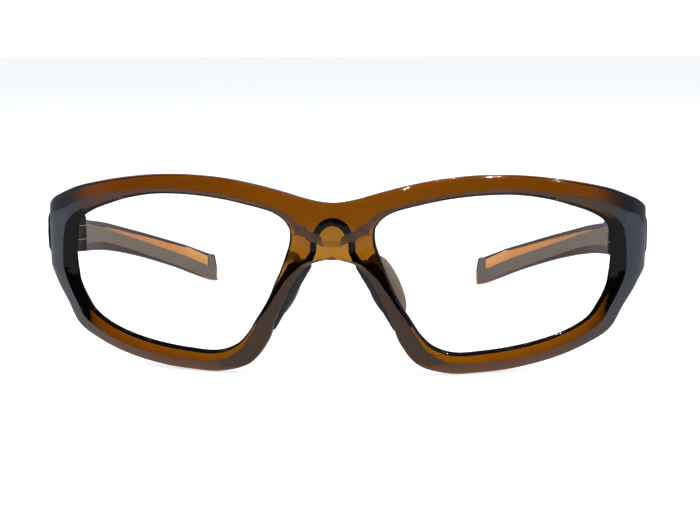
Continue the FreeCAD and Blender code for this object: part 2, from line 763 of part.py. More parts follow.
nodes = build()
doc.recompute()

faults = [item.Name for item in doc.Objects if "Invalid" in item.State or "Error" in item.State]
for name, node in nodes.items():
    if node.Shape.isNull() or not node.Shape.isValid() or not node.Shape.Solids:
        faults.append(name)
if faults:
    raise RuntimeError("not built: " + ", ".join(sorted(set(faults))))

os.makedirs("parts", exist_ok=True)
for name, node in nodes.items():
    node.Shape.exportStep(os.path.join("parts", name + ".step"))
    box_of = node.Shape.BoundBox
    print(f"{name}: {len(node.Shape.Solids)} solids, {node.Shape.Volume:.1f} mm3,"
          f" X {box_of.XMin:.1f} {box_of.XMax:.1f}, Y {box_of.YMin:.1f} {box_of.YMax:.1f},"
          f" Z {box_of.ZMin:.1f} {box_of.ZMax:.1f}")
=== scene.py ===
import json
import math
import bmesh
import bpy
import numpy as np
from mathutils import Matrix, Vector


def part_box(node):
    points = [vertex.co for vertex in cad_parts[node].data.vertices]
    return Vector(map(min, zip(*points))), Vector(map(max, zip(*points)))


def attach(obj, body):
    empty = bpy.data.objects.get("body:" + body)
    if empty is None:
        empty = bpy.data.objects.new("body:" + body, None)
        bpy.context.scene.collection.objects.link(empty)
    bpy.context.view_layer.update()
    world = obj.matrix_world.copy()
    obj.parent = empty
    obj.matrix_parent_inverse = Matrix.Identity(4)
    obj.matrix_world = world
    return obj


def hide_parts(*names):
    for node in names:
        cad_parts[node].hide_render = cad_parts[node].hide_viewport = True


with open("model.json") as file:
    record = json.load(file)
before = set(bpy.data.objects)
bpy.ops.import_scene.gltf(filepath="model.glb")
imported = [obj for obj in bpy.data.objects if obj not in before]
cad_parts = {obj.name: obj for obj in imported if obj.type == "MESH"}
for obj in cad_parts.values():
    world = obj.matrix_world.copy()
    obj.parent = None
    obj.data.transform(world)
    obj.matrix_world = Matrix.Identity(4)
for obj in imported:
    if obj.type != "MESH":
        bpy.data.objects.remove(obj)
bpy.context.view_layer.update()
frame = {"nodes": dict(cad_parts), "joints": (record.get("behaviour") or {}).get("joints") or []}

# ------------------------------------------------------------------ sizes
MM = 0.001
FOLD_LEFT, FOLD_RIGHT = frame["joints"]
FRONT_LOW, FRONT_HIGH = (np.array(corner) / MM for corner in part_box("front_frame"))
BRIDGE_Y = FRONT_LOW[1]                # the most forward point of the bridge
WRAP = 100.0                           # plan radius of the front
TURN = 12.0                            # plan radius of the corner at the joint
DROP = 180.0                           # side-view radius of the front
APEX_Z = 24.0                          # height where the front stands furthest forward
HALF_WIDTH = 72.5
JOINT_RUN = 82.2                       # along the plan curve, from the bridge to the joint
THICK = 4.5                            # rim, front to back
END_THICK = 5.8                        # the same at the joint
THICKENING = (66.0, 80.0)              # where along the plan curve the rim grows to that
GROOVE = (0.55, 3.65)                  # groove: below the lip to its front wall, and depth of its back wall
GROOVE_DEEP = 0.55
LENS_DEPTHS = (1.95, 3.5)              # front and back of the lens, behind the face of the rim
LENS_PLAY = 0.1                        # lens edge to the bottom of the groove
TURN_ANGLE = math.asin((HALF_WIDTH - TURN) / (WRAP - TURN))
TURN_START = WRAP * TURN_ANGLE


def unit(v):
    return v / np.linalg.norm(v)


def clamp(value):
    return min(max(value, 0), 1)


def wrap(u, z, depth):
    """Point of the front: u along its plan curve, height z, depth behind its face."""
    side = -1.0 if u < 0 else 1.0
    run = abs(u)
    if run <= TURN_START:
        angle = run / WRAP
        x = WRAP * math.sin(angle)
        y = WRAP * (1 - math.cos(angle))
    else:
        angle = TURN_ANGLE + (run - TURN_START) / TURN
        x = HALF_WIDTH - TURN + TURN * math.sin(angle)
        y = WRAP - (WRAP - TURN) * math.cos(TURN_ANGLE) - TURN * math.cos(angle)
    tilt = math.asin((z - APEX_Z) / DROP)
    inward = depth * math.cos(tilt) + DROP * (1 - math.cos(tilt))
    x -= inward * math.sin(angle)
    y += inward * math.cos(angle)
    return (side * x * MM, (y + BRIDGE_Y) * MM, (z - depth * math.sin(tilt)) * MM)


# ------------------------------------------------------------------ materials
def hex_linear(code):
    """Linear colour, with alpha 1, of an sRGB code."""
    channels = [int(code[i:i + 2], 16) / 255 for i in (1, 3, 5)]
    linear = [c / 12.92 if c <= 0.04045 else ((c + 0.055) / 1.055) ** 2.4 for c in channels]
    return (*linear, 1.0)


def new_material(name):
    material = bpy.data.materials.new(name)
    material.use_nodes = True
    tree = material.node_tree
    return material, tree, tree.nodes["Principled BSDF"]


def add_node(tree, kind, settings=None, inputs=None, links=None):
    """One shader node: attributes, input values, then links into its inputs."""
    node = tree.nodes.new(kind)
    for key, value in (settings or {}).items():
        setattr(node, key, value)
    for key, value in (inputs or {}).items():
        node.inputs[key].default_value = value
    for key, socket in (links or {}).items():
        tree.links.new(socket, node.inputs[key])
    return node


def blend(tree, factor, first, second):
    """A colour that goes from one sRGB code to another with the factor."""
    mix = add_node(tree, "ShaderNodeMix", {"data_type": "RGBA"}, links={"Factor": factor})
    mix.inputs["A"].default_value = hex_linear(first)
    mix.inputs["B"].default_value = hex_linear(second)
    return mix.outputs["Result"]


def fine_bump(tree, shader, size_mm, strength, distance_mm, detail=3.0):
    """Moulding texture of the given size, on object coordinates; returns its noise."""
    place = add_node(tree, "ShaderNodeTexCoord")
    noise = add_node(tree, "ShaderNodeTexNoise", inputs={"Scale": 1 / (size_mm * MM), "Detail": detail},
                     links={"Vector": place.outputs["Object"]})
    bump = add_node(tree, "ShaderNodeBump", inputs={"Strength": strength, "Distance": distance_mm * MM},
                    links={"Height": noise.outputs["Fac"]})
    tree.links.new(bump.outputs["Normal"], shader.inputs["Normal"])
    return noise


# default tints: full colour in the middle, darkened towards the ends as painted shade
def crystal_nylon(name, density, colour, ends=None, shade_and_reflection_tints=("#FFFFFF", "#2A2622"), haze=0.0):
    """Clear brown moulded nylon: glass-like and dark where thick, or hazed where honed.

    The tint goes from the first to the second between the two distances from the middle in ends; it is
    painted shade at the front's ends and painted reflection on the honed facet.
    """
    material, tree, shader = new_material(name)
    if ends:
        place = add_node(tree, "ShaderNodeTexCoord")
        split = add_node(tree, "ShaderNodeSeparateXYZ", links={"Vector": place.outputs["Object"]})
        reach = add_node(tree, "ShaderNodeMath", {"operation": "ABSOLUTE"}, links={0: split.outputs["X"]})
        near, far = ends
        share = add_node(tree, "ShaderNodeMapRange", {"interpolation_type": "SMOOTHSTEP"},
                         inputs={"From Min": near * MM, "From Max": far * MM},
                         links={"Value": reach.outputs["Value"]})
        tree.links.new(blend(tree, share.outputs["Result"], *shade_and_reflection_tints), shader.inputs["Base Color"])
    shader.inputs["Base Color"].default_value = hex_linear("#FFFFFF")
    shader.inputs["Roughness"].default_value = 0.03 + 0.3 * haze
    shader.inputs["IOR"].default_value = 1.51
    shader.inputs["Transmission Weight"].default_value = 1.0 - haze
    fine_bump(tree, shader, 9.0, 0.08, 0.05, 1.0)
    absorb = add_node(tree, "ShaderNodeVolumeAbsorption", inputs={"Color": colour, "Density": density})
    tree.links.new(absorb.outputs["Volume"], tree.nodes["Material Output"].inputs["Volume"])
    return material


def clear_polycarbonate():
    """Cast clear lens with a hard anti-reflection coat: almost nothing but a faint gleam."""
    material, tree, shader = new_material("clear_polycarbonate")
    shader.inputs["Base Color"].default_value = hex_linear("#FDFEFE")
    shader.inputs["Roughness"].default_value = 0.0
    shader.inputs["IOR"].default_value = 1.12
    shader.inputs["Transmission Weight"].default_value = 1.0
    fine_bump(tree, shader, 30.0, 0.02, 0.01, 0.0)
    return material


def satin(name, code, dark, roughness, size_mm, strength, coat=0.0, specular=0.5):
    """Opaque moulded rubber or plastic with a fine mould texture and a slight mottle."""
    material, tree, shader = new_material(name)
    noise = fine_bump(tree, shader, size_mm, strength, 0.05)
    tree.links.new(blend(tree, noise.outputs["Fac"], dark, code), shader.inputs["Base Color"])
    shader.inputs["Roughness"].default_value = roughness
    shader.inputs["Specular IOR Level"].default_value = specular
    shader.inputs["Coat Weight"].default_value = coat
    shader.inputs["Coat Roughness"].default_value = 0.15
    return material


def silicone():
    """Cloudy grey-brown silicone rubber: soft, half clear, with a wet-looking skin."""
    material, tree, shader = new_material("cloudy_silicone")
    shader.inputs["Base Color"].default_value = hex_linear("#9C8C7C")
    shader.inputs["Roughness"].default_value = 0.22
    shader.inputs["IOR"].default_value = 1.41
    shader.inputs["Transmission Weight"].default_value = 0.85
    fine_bump(tree, shader, 1.5, 0.15, 0.05)
    absorb = add_node(tree, "ShaderNodeVolumeAbsorption",
                      inputs={"Color": hex_linear("#B7A78F"), "Density": 700.0})
    tree.links.new(absorb.outputs["Volume"], tree.nodes["Material Output"].inputs["Volume"])
    return material


def steel(name, code, roughness, grain_mm):
    """Stainless steel, tumbled after stamping or turning: bright with fine short grain."""
    material, tree, shader = new_material(name)
    shader.inputs["Base Color"].default_value = hex_linear(code)
    shader.inputs["Metallic"].default_value = 1.0
    noise = fine_bump(tree, shader, grain_mm, 0.25, 0.02)
    spread = add_node(tree, "ShaderNodeMapRange",
                      inputs={"To Min": roughness * 0.8, "To Max": roughness * 1.3},
                      links={"Value": noise.outputs["Fac"]})
    tree.links.new(spread.outputs["Result"], shader.inputs["Roughness"])
    return material


FRONT_DENSITY = 1600.0                 # absorption of the nylon, per metre
FRONT_BROWN = (0.74, 0.57, 0.03, 1)
ARM_DENSITY = 1000.0
ARM_BROWN = (0.79, 0.53, 0.15, 1)
# painted reflection of the pale room on the facet: mauve in the middle, slate at the ends
FACET_PAINTED_REFLECTION_TINTS = ("#C89E84", "#7F8898")   # mauve in the middle, slate at the ends
FACET_HAZE = 0.27
# base colour darkens from 55 to 66 mm out from the middle: painted shade at the temporal ends
FRONT_NYLON = crystal_nylon("crystal_nylon_front", FRONT_DENSITY, FRONT_BROWN, (55.0, 66.0))
# the honed facet: real haze, with the painted reflection in its tint
FACET_PAINTED_REFLECTION_NYLON = crystal_nylon("honed_nylon_painted_reflection", FRONT_DENSITY, FRONT_BROWN, (50.0, 68.0), FACET_PAINTED_REFLECTION_TINTS, FACET_HAZE)
ARM_NYLON = crystal_nylon("crystal_nylon_arm", ARM_DENSITY, ARM_BROWN)
LENS = clear_polycarbonate()
# painted shade: a near-black opaque stand-in for the darkness that the lens opening's walls and groove, and
# the arch's sloping sides, take in the clear nylon
PAINTED_SHADE_NYLON = satin("painted_shade_nylon", "#0C0805", "#070403", 0.5, 2.0, 0.05, specular=0.08)
CARRIER = satin("slate_rubber", "#626670", "#50545E", 0.42, 0.5, 0.15)
PAD = silicone()
GRIP = satin("taupe_rubber", "#8E7C6C", "#7C6C5E", 0.42, 0.6, 0.12, coat=0.1)
HINGE = steel("blackened_steel", "#3B3735", 0.32, 0.25)
SCREW = steel("turned_stainless", "#C9C8C5", 0.2, 0.15)
WASHER = satin("natural_nylon", "#DEDBD0", "#CFCBBE", 0.5, 0.3, 0.1)
CAD_FINISHES = {
    "front_hinge": HINGE,
    "temple_hinge": HINGE,
    "front_hinge_screws": SCREW,
    "temple_hinge_screws": SCREW,
    "hinge_pin_screw": SCREW,
    "hinge_washers": WASHER,
}


# ------------------------------------------------------------------ modelling
def finish_piece(piece, material, body, slot, *replaced):
    piece.data.materials.append(material)
    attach(piece, body)
    if replaced:
        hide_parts(*replaced)
    return piece


def only(piece):
    bpy.ops.object.select_all(action="DESELECT")
    bpy.context.view_layer.objects.active = piece
    piece.select_set(True)


def apply_modifier(piece, kind, **settings):
    only(piece)
    modifier = piece.modifiers.new(kind.lower(), kind)
    for key, value in settings.items():
        setattr(modifier, key, value)
    bpy.ops.object.modifier_apply(modifier=modifier.name)


def place_ring(piece, points, number):
    """Puts the selected ring of vertices on its points, by column."""
    mesh = bmesh.from_edit_mesh(piece.data)
    column = mesh.verts.layers.int["column"]
    ring = mesh.verts.layers.int["ring"]
    for vertex in mesh.verts:
        if vertex.select:
            vertex.co = points[vertex[column]]
            vertex[ring] = number
    bmesh.update_edit_mesh(piece.data)


def extrude_rings(name, rings):
    """A skin drawn by extruding a circle of edges from ring to ring."""
    bpy.ops.object.select_all(action="DESELECT")
    bpy.ops.mesh.primitive_circle_add(vertices=len(rings[0]), radius=MM)
    piece = bpy.context.object
    piece.name = name
    piece.data.name = name
    bpy.ops.object.mode_set(mode="EDIT")
    mesh = bmesh.from_edit_mesh(piece.data)
    mesh.verts.layers.int.new("ring")
    column = mesh.verts.layers.int.new("column")
    mesh.verts.ensure_lookup_table()
    for index, vertex in enumerate(mesh.verts):
        vertex[column] = index
    bmesh.update_edit_mesh(piece.data)
    bpy.ops.mesh.select_all(action="SELECT")
    place_ring(piece, rings[0], 0)
    for number, ring in enumerate(rings[1:], start=1):
        bpy.ops.mesh.extrude_edges_indiv()
        place_ring(piece, ring, number)
    return piece


WELD = 0.002 * MM
SLIVER = 0.0005 * MM
SAME_PLACE = 1e-8


def close_skin(piece, keep_rings=False):
    """Merges what meets and turns the faces outwards."""
    bpy.ops.mesh.select_all(action="SELECT")
    bpy.ops.mesh.remove_doubles(threshold=WELD)
    bpy.ops.mesh.dissolve_degenerate(threshold=SLIVER)
    bpy.ops.mesh.normals_make_consistent(inside=False)
    bpy.ops.object.mode_set(mode="OBJECT")
    piece.data.attributes.remove(piece.data.attributes["column"])
    if not keep_rings:
        piece.data.attributes.remove(piece.data.attributes["ring"])


def cap_start(piece, ring):
    """Closes the end of a skin where its first ring is."""
    bpy.ops.mesh.select_all(action="DESELECT")
    mesh = bmesh.from_edit_mesh(piece.data)
    for vertex in mesh.verts:
        vertex.select = any((vertex.co - Vector(p)).length < SAME_PLACE for p in ring)
    mesh.select_flush_mode()
    bmesh.update_edit_mesh(piece.data)
    bpy.ops.mesh.edge_face_add()


def capped_skin(name, rings):
    """A closed skin: drawn from ring to ring, with a face on its last ring and on its first."""
    piece = extrude_rings(name, rings)
    bpy.ops.mesh.edge_face_add()
    cap_start(piece, rings[0])
    close_skin(piece)
    return piece


def smooth(piece, degrees):
    only(piece)
    bpy.ops.object.shade_smooth_by_angle(angle=math.radians(degrees))


def catmull(points, steps, closed):
    """A smooth run through the points, with so many steps between each two."""
    points = [np.array(p, float) for p in points]
    count = len(points)
    out = []
    spans = count if closed else count - 1
    for i in range(spans):
        if closed:
            a, b, c, d = (points[(i + k) % count] for k in (-1, 0, 1, 2))
        else:
            b, c = points[i], points[i + 1]
            a = points[i - 1] if i > 0 else 2 * b - c
            d = points[i + 2] if i + 2 < count else 2 * c - b
        for k in range(steps):
            t = k / steps
            out.append(0.5 * (2 * b + (c - a) * t + (2 * a - 5 * b + 4 * c - d) * t ** 2
                              + (3 * b - a - 3 * c + d) * t ** 3))
    if not closed:
        out.append(points[-1])
    return out


# ------------------------------------------------------------------ front
# Section lines across the rim, from the lens opening out to the edge, in
# millimetres: (lens u, lens z, edge u, edge z), then the facet that winds
# round the rim: where it starts and ends along the line, as shares, the
# depth of the lip at the lens, the depths of the facet's two creases, and
# the depth of the outer edge.
TOP_RUN = [
    (9.6, 33.3, 0.0, 39.1, 0.00, 0.22, 0.95, 0.95, 0.0, 0.0),
    (11.0, 35.2, 5.2, 39.8, 0.00, 0.25, 0.95, 0.95, 0.0, 0.0),
    (13.9, 36.9, 11.5, 41.5, 0.00, 0.24, 0.95, 0.95, 0.0, 0.0),
    (19.0, 38.2, 18.0, 43.0, 0.00, 0.23, 0.95, 0.95, 0.0, 0.0),
    (26.0, 39.5, 26.0, 44.3, 0.00, 0.24, 0.95, 0.95, 0.0, 0.0),
    (34.0, 40.2, 34.5, 44.8, 0.00, 0.25, 0.95, 0.95, 0.0, 0.0),
    (42.5, 40.1, 43.5, 44.5, 0.00, 0.27, 0.95, 0.95, 0.0, 0.0),
    (50.5, 38.9, 52.4, 43.5, 0.04, 0.32, 1.00, 0.90, 0.0, 0.0),
    (57.2, 37.1, 60.9, 42.1, 0.10, 0.42, 1.10, 0.80, 0.0, 0.1),
    (62.9, 35.2, 68.4, 40.5, 0.16, 0.44, 1.15, 0.60, 0.0, 0.2),
    (67.0, 32.8, 75.8, 38.1, 0.22, 0.50, 1.20, 0.35, 0.1, 0.4),
    (68.2, 29.6, JOINT_RUN, 35.7, 0.25, 0.66, 1.25, 0.15, 0.3, 0.6),
]
BUTT_RUN = [
    (68.2, 29.6, JOINT_RUN, 35.7, 0.25, 0.66, 1.25, 0.15, 0.3, 0.6),
    (68.4, 25.5, JOINT_RUN, 28.5, 0.28, 1.00, 1.25, 0.00, 0.7, 0.7),
    (67.9, 21.3, JOINT_RUN, 21.4, 0.31, 1.00, 1.25, 0.00, 0.9, 0.9),
]
LOW_RUN = [
    (67.9, 21.3, JOINT_RUN, 21.4, 0.31, 1.00, 1.25, 0.00, 0.9, 0.9),
    (67.0, 17.9, 78.0, 17.9, 0.34, 1.00, 1.20, 0.00, 1.1, 1.1),
    (64.8, 14.5, 73.4, 12.6, 0.38, 1.00, 1.10, 0.05, 1.3, 1.3),
    (61.8, 11.3, 69.5, 7.5, 0.42, 1.00, 1.00, 0.10, 1.4, 1.4),
    (56.6, 8.8, 62.1, 4.3, 0.45, 1.00, 0.90, 0.15, 1.5, 1.5),
    (49.8, 6.9, 53.2, 1.9, 0.47, 1.00, 0.85, 0.20, 1.5, 1.5),
    (42.1, 5.6, 43.0, 0.3, 0.48, 1.00, 0.80, 0.20, 1.5, 1.5),
    (34.2, 4.9, 34.2, -0.2, 0.46, 1.00, 0.80, 0.25, 1.5, 1.5),
    (27.6, 4.8, 27.0, -0.1, 0.40, 1.00, 0.80, 0.30, 1.5, 1.5),
    (22.8, 6.4, 19.8, 2.0, 0.26, 1.00, 0.80, 0.40, 1.5, 1.5),
    (19.7, 9.2, 15.5, 6.9, 0.14, 1.00, 0.75, 0.50, 1.6, 1.6),
    (17.5, 12.5, 13.5, 11.8, 0.16, 1.00, 0.75, 0.50, 1.6, 1.6),
    (14.9, 16.6, 11.3, 16.6, 0.30, 1.00, 0.80, 0.50, 1.6, 1.6),
    (12.9, 20.7, 9.0, 20.9, 0.48, 1.00, 0.85, 0.50, 1.6, 1.6),
    (11.3, 24.6, 5.7, 24.8, 0.70, 1.00, 0.90, 0.50, 1.5, 1.5),
    (10.1, 28.0, 2.0, 26.2, 0.84, 1.00, 0.90, 0.50, 1.3, 1.3),
    (9.6, 29.5, 0.0, 26.3, 0.88, 1.00, 0.90, 0.50, 1.2, 1.2),
]
CENTRE_RUN = [
    (9.58, 29.7, 0.0, 27.4, 0.99, 1.00, 0.90, 0.50, 0.5, 0.5),
    (9.5, 30.2, 0.0, 29.0, 0.80, 0.80, 0.90, 0.50, 0.5, 0.5),
    (9.4, 31.0, 0.0, 31.0, 0.40, 0.78, 0.90, 0.60, 0.1, 0.1),
    (9.4, 32.1, 0.0, 35.0, 0.00, 0.42, 0.90, 0.90, 0.0, 0.0),
    (9.5, 33.0, 0.0, 38.6, 0.00, 0.24, 0.95, 0.95, 0.0, 0.0),
]
STEPS = 12                             # section lines from one row to the next
EDGE_ROUND = 0.45
LIP_ROUND = 0.25
BULGE = 0.3                            # where the middle of a rounding lies, as a share of it
REAR_INSET = 0.4                       # the back stops short of the opening's wall
REAR_ROWS = 8
WALL_ROWS = 6
FACET_RINGS = (5, 9)                   # the creases of the winding facet, as rings of the skin
SIDE_RING = 17                         # the ring at the back of the outer side
FACET_TOP = 27.0                       # below this the facet takes in the outer side
LIP_TOP = 12.0                         # below this the lip is as clear as the faces
# material indices: clear nylon, near-black painted shade, honed facet with painted reflection in its tint
NYLON_FACES, PAINTED_SHADE_FACES, FACET_FACES = range(3)


def edge_run(run, from_centre=False, to_centre=False):
    """Smooth outer edge of one run, less its last point; at the centre line it goes on mirrored."""
    points = [row[2:4] for row in run]
    ahead = [(-points[1][0], points[1][1])] if from_centre else []
    after = [(-points[-2][0], points[-2][1])] if to_centre else []
    first = STEPS * len(ahead)
    return catmull(ahead + points + after, STEPS, False)[first:first + STEPS * (len(points) - 1)]


def front_sections():
    """Ends and facet of every section line round one lens; the last list marks the centre line's."""
    rows = TOP_RUN[:-1] + BUTT_RUN[:-1] + LOW_RUN + CENTRE_RUN
    lens = catmull([row[:2] for row in rows], STEPS, True)
    edge = edge_run(TOP_RUN, from_centre=True)
    edge += [np.array([JOINT_RUN, z]) for _, z in edge_run(BUTT_RUN)]
    edge += edge_run(LOW_RUN, to_centre=True)
    last_free = len(edge)
    bridge = [np.array(row[2:4]) for row in (LOW_RUN[-1], *CENTRE_RUN, TOP_RUN[0])]
    for start, end in zip(bridge, bridge[1:]):
        for k in range(STEPS):
            edge.append(start * (1 - k / STEPS) + end * (k / STEPS))
    facet_rows = [np.array(row[4:]) for row in rows]
    facet = []
    for here, there in zip(facet_rows, facet_rows[1:] + facet_rows[:1]):
        for k in range(STEPS):
            t = k / STEPS
            eased = t * t * (3 - 2 * t)
            facet.append(here * (1 - eased) + there * eased)
    return lens, edge, facet, [k > last_free for k in range(len(edge))]


def wall(point, depth):
    """Point of the opening's wall, which runs straight back from the lip at the lens."""
    u, z = point
    angle = min(abs(u), TURN_START) / WRAP
    tilt = math.asin((z - APEX_Z) / DROP)
    return np.array([u + depth * math.tan(angle), z + depth * math.tan(tilt) / math.cos(angle)])


def section_points(lens, edge, facet, at_centre):
    """The closed outline of the rim on one section line."""
    width = float(np.linalg.norm(edge - lens))
    direction = (edge - lens) / width
    start, end, lip, inner_depth, outer_depth, edge_depth = facet
    start = max(start * width, LIP_ROUND)
    end = max(end * width, start)
    rounding = 0.0 if at_centre else EDGE_ROUND

    def depth(w):
        if w <= start:
            return lip + (inner_depth - lip) * (w - LIP_ROUND) / max(start - LIP_ROUND, 1e-6)
        if w <= end:
            return inner_depth + (outer_depth - inner_depth) * (w - start) / max(end - start, 1e-6)
        return outer_depth + (edge_depth - outer_depth) * (w - end) / max(width - end, 1e-6)

    stop = width - rounding
    start, end = min(start, stop), min(end, stop)
    across = [LIP_ROUND, *np.linspace(LIP_ROUND, start, 4)[1:], *np.linspace(start, end, 5)[1:]]
    across += list(np.linspace(end, stop, 6)[1:])
    points = [(0.0, lip + LIP_ROUND), (BULGE * LIP_ROUND, lip + BULGE * LIP_ROUND)]
    points += [(w, depth(w)) for w in across]
    outer = depth(stop)
    points += [(width - BULGE * rounding, outer + BULGE * rounding), (width, outer + rounding)]
    first, last = THICKENING
    back = THICK + (END_THICK - THICK) * clamp((edge[0] - first) / (last - first)) ** 1.5
    points += [(width, back - rounding), (width - BULGE * rounding, back - BULGE * rounding)]
    out = [(*(lens + direction * w), d) for w, d in points]
    rear_outer = lens + direction * stop
    rear_inner = wall(lens, THICK) + direction * REAR_INSET
    for share in np.linspace(0, 1, REAR_ROWS):
        place = rear_outer * (1 - share) + rear_inner * share
        out.append((*place, THICK + (back - THICK) * (1 - share) ** 2))
    for reach, d in ((0.1, THICK - 0.12), (0.0, THICK - 0.4), (0.0, GROOVE[1]), (GROOVE_DEEP, GROOVE[1]),
                     (GROOVE_DEEP, GROOVE[0] + lip), (0.0, GROOVE[0] + lip)):
        out.append((*(wall(lens, d) + direction * reach), d))
    return [wrap(*point) for point in out]


def model_front():
    """Skin of one half, opened on the centre plane and mirrored, then faceted and hollowed."""
    lens, edge, facet, centre = front_sections()
    columns = [section_points(*row) for row in zip(lens, edge, facet, centre)]
    rings = [[column[k] for column in columns] for k in range(len(columns[0]))]
    piece = extrude_rings("front_moulding", rings + rings[:1])
    close_skin(piece, keep_rings=True)
    rows = len(rings)
    bpy.ops.object.mode_set(mode="EDIT")
    bpy.ops.mesh.select_all(action="DESELECT")
    mesh = bmesh.from_edit_mesh(piece.data)
    for face in mesh.faces:
        face.select = all(abs(vertex.co.x) < 0.01 * MM for vertex in face.verts)
    bmesh.update_edit_mesh(piece.data)
    bpy.ops.mesh.delete(type="FACE")
    bpy.ops.object.mode_set(mode="OBJECT")
    apply_modifier(piece, "MIRROR", use_clip=True, merge_threshold=0.02 * MM)
    bpy.ops.object.mode_set(mode="EDIT")
    bpy.ops.mesh.select_all(action="SELECT")
    bpy.ops.mesh.remove_doubles(threshold=WELD)
    bpy.ops.mesh.normals_make_consistent(inside=False)
    bpy.ops.object.mode_set(mode="OBJECT")
    shade_facets(piece, rows)
    finish_piece(piece, FRONT_NYLON, "front", "crystal_nylon", "front_frame")
    # second slot: the painted shade of the walls; third: the honed facet with painted reflection
    piece.data.materials.append(PAINTED_SHADE_NYLON)
    piece.data.materials.append(FACET_PAINTED_REFLECTION_NYLON)
    cut_relief(piece)
    piece.data.attributes.remove(piece.data.attributes["ring"])


def shade_facets(piece, rows):
    """Smooth roundings with sharp creases; painted shade on the walls at the lens; the winding facet honed,
    with painted reflection in its tint.
    """
    only(piece)
    bpy.ops.object.shade_smooth()
    rings = [item.value for item in piece.data.attributes["ring"].data]
    first_wall = rows - WALL_ROWS
    corners = {*FACET_RINGS, *range(first_wall, rows + 1)}
    for edge in piece.data.edges:
        first, last = (rings[index] for index in edge.vertices)
        edge.use_edge_sharp = first == last and first in corners
    for polygon in piece.data.polygons:
        around = {rings[index] for index in polygon.vertices}
        height = polygon.center.z / MM
        facet_end = FACET_RINGS[1] if height > FACET_TOP else SIDE_RING
        if max(around) <= 1 and height < LIP_TOP:
            polygon.material_index = NYLON_FACES
        # the lip and the walls and groove of the opening take the painted shade
        elif all(ring <= 1 or ring >= first_wall for ring in around):
            polygon.material_index = PAINTED_SHADE_FACES
        # the winding facet: honed, with painted reflection in its tint
        elif min(around) >= FACET_RINGS[0] and max(around) <= facet_end:
            polygon.material_index = FACET_FACES


ARCH_SPRING = 28.0                     # height where the arch leaves its legs
ARCH_FOOT = 24.0                       # height where the legs end, below the bridge
ARCH_STEPS = 25
# Outlines of the arched hollow, from behind the bridge inwards: half width,
# top, how far each foot is splayed, and depth behind the face.
ARCH_OUTLINES = [
    (6.2, 36.2, 3.2, 6.5),
    (5.2, 35.7, 2.6, THICK + 0.02),
    (3.6, 33.9, 1.6, 3.5),
]


def arch(half_width, top, foot):
    """Outline of the arched relief, from one foot over the top to the other."""
    turn = np.linspace(0, math.pi, ARCH_STEPS)
    rise = top - ARCH_SPRING
    points = [(half_width * math.cos(t), ARCH_SPRING + rise * math.sin(t) ** 0.8) for t in turn]
    return [(half_width + foot, ARCH_FOOT), *points, (-half_width - foot, ARCH_FOOT)]


def cut_relief(piece):
    """Arched hollow behind the bridge, with painted shade on its sloping sides and a clear floor."""
    rings = [[wrap(u, z, depth) for u, z in arch(half, top, foot)]
             for half, top, foot, depth in ARCH_OUTLINES]
    cutter = capped_skin("relief_cutter", rings)
    for material in piece.data.materials:
        cutter.data.materials.append(material)
    for polygon in cutter.data.polygons:
        # the sloping sides take the painted shade, the floor and top the clear nylon
        polygon.material_index = NYLON_FACES if len(polygon.vertices) > 4 else PAINTED_SHADE_FACES
    apply_modifier(piece, "BOOLEAN", object=cutter, operation="DIFFERENCE", solver="EXACT")
    bpy.data.objects.remove(cutter)


LENS_SHARES = (0.02, 0.2, 0.4, 0.6, 0.8, 0.93, 0.99)
LENS_CHAMFER = 0.1


def model_lens(side):
    """Clear lens whose edge stands in the groove."""
    outline, edge, _, _ = front_sections()
    outline, edge = outline[::2], edge[::2]
    reach = GROOVE_DEEP - LENS_PLAY
    front_depth, back_depth = LENS_DEPTHS

    def lens_ring(share, depth):
        border = [wall(p, depth) + unit(q - p) * reach for p, q in zip(outline, edge)]
        middle = np.mean(border, axis=0)
        flat = [middle + (p - middle) * share for p in border]
        return [wrap(side * p[0], p[1], depth) for p in flat]

    rings = [lens_ring(share, front_depth) for share in LENS_SHARES]
    rings += [lens_ring(1.0, front_depth + LENS_CHAMFER), lens_ring(1.0, back_depth - LENS_CHAMFER)]
    rings += [lens_ring(share, back_depth) for share in reversed(LENS_SHARES)]
    name = "left" if side > 0 else "right"
    piece = capped_skin("lens_" + name + "_clear", rings)
    smooth(piece, 40)
    return finish_piece(piece, LENS, "front", "clear_lens", "lens_" + name)


# ------------------------------------------------------------------ temples
BUTT_GAP = 0.3
JOINT_Y = FRONT_HIGH[1] + BUTT_GAP
TIP_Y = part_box("temple_arm_right")[1][1] / MM
ARM_LENGTH = TIP_Y - JOINT_Y
# Stations along the arm: share of its length, middle height, height,
# thickness, height of the crease as a share of the half height, and height
# of the bevel along the lower edge.
ARM_STATIONS = [
    (0.000, 28.55, 14.0, 6.1, 0.80, 0.6),
    (0.050, 27.80, 12.6, 6.1, 0.78, 0.6),
    (0.130, 26.13, 9.2, 5.2, 0.76, 1.4),
    (0.180, 25.30, 8.6, 4.3, 0.73, 2.2),
    (0.240, 24.40, 8.2, 3.6, 0.68, 2.4),
    (0.360, 22.60, 7.5, 3.4, 0.52, 2.2),
    (0.480, 20.00, 7.0, 3.3, 0.36, 1.5),
    (0.620, 16.40, 7.0, 3.2, 0.22, 0.8),
    (0.780, 11.65, 7.4, 3.1, 0.12, 0.5),
    (0.900, 7.60, 8.2, 3.0, 0.05, 0.4),
    (0.965, 5.40, 8.7, 2.9, 0.02, 0.4),
    (1.000, 4.55, 8.9, 2.8, 0.00, 0.4),
]
ARM_STEPS = 8                          # rings from one station to the next
TIP_SLANT = 4.0                        # how far the tip's upper corner stands back from its lower one
SLANT_START = 0.85                     # share of the length where that slant begins
TIP_INSET = 22.5
BEND_START = 0.03
BEND_POWER = 1.9
ROOT_TUCK = 0.7                        # how far the outer side of the root is drawn in
ROOT_SHARE = 0.16
ROOT_ROUND = 1.6
OUTER_CORNER = 1.2                     # the outer rounding of the section ends nearer than this
